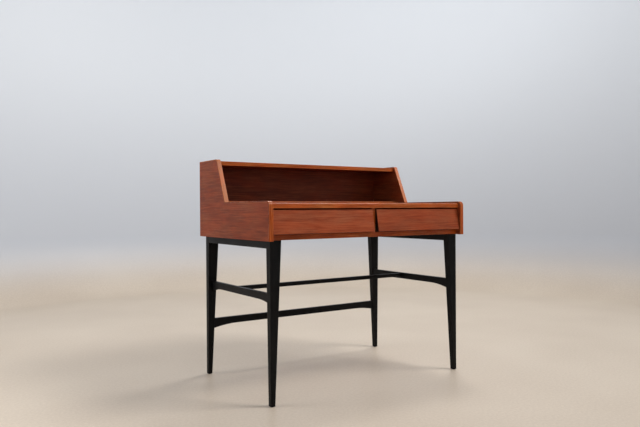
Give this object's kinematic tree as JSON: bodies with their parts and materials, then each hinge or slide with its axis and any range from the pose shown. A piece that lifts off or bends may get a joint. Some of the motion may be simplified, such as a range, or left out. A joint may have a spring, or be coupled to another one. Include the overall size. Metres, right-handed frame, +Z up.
{
  "type": "desk",
  "caption": "Writing desk: raised open niche at the back between sloped side panels, leaning drawer fronts, dark tapered legs tied by arched stretchers.",
  "frame": {"origin": "on the floor, below the middle of the desk's outer box", "axes": "+X to the sitter's right along the desk's width, -Y towards the sitter, +Z up"},
  "size_m": [0.998, 0.632, 0.942],
  "materials": {
    "teak_veneer": "satin",
    "teak_front": "satin",
    "teak_solid": "satin",
    "back_board": "matt",
    "beech": "matt",
    "plywood": "matt",
    "black_lacquer": "satin",
    "screw_steel": "plain",
    "glide_nylon": "plain"
  },
  "bodies": {
    "desk": {"back_panel_screws": "screw_steel", "back_stretcher": "black_lacquer", "base_dowels": "beech", "base_screws": "screw_steel", "case_back": "back_board", "case_bottom": "teak_veneer", "case_bottom_lipping": "teak_solid", "case_dowels": "beech", "centre_divider": "teak_veneer", "centre_divider_lipping": "teak_solid", "cross_bar": "black_lacquer", "drawer_stops": "beech", "foot_glides": "glide_nylon", "front_left_leg": "black_lacquer", "front_right_leg": "black_lacquer", "left_apron": "black_lacquer", "left_drawer_left_runner": "beech", "left_drawer_right_runner": "beech", "left_panel_lower_lipping": "teak_solid", "left_panel_upper_lipping": "teak_solid", "left_side_panel": "teak_veneer", "left_stretcher": "black_lacquer", "niche_back": "teak_veneer", "niche_floor": "teak_veneer", "niche_floor_lipping": "teak_solid", "niche_top": "teak_veneer", "niche_top_lipping": "teak_solid", "rear_left_leg": "black_lacquer", "rear_right_leg": "black_lacquer", "right_apron": "black_lacquer", "right_drawer_left_runner": "beech", "right_drawer_right_runner": "beech", "right_panel_lower_lipping": "teak_solid", "right_panel_upper_lipping": "teak_solid", "right_side_panel": "teak_veneer", "right_stretcher": "black_lacquer", "runner_screws": "screw_steel", "worktop": "teak_veneer", "worktop_nosing": "teak_solid"},
    "left_drawer": {"left_drawer_back": "beech", "left_drawer_bottom": "plywood", "left_drawer_dowels": "beech", "left_drawer_front": "teak_front", "left_drawer_left_side": "beech", "left_drawer_right_side": "beech"},
    "right_drawer": {"right_drawer_back": "beech", "right_drawer_bottom": "plywood", "right_drawer_dowels": "beech", "right_drawer_front": "teak_front", "right_drawer_left_side": "beech", "right_drawer_right_side": "beech"}
  },
  "joints": [
    {"name": "left_drawer_slide", "type": "slide", "parent": "desk", "child": "left_drawer", "axis": [0, -1, 0], "range_m": [0, 0.35]},
    {"name": "right_drawer_slide", "type": "slide", "parent": "desk", "child": "right_drawer", "axis": [0, -1, 0], "range_m": [0, 0.35]}
  ]
}
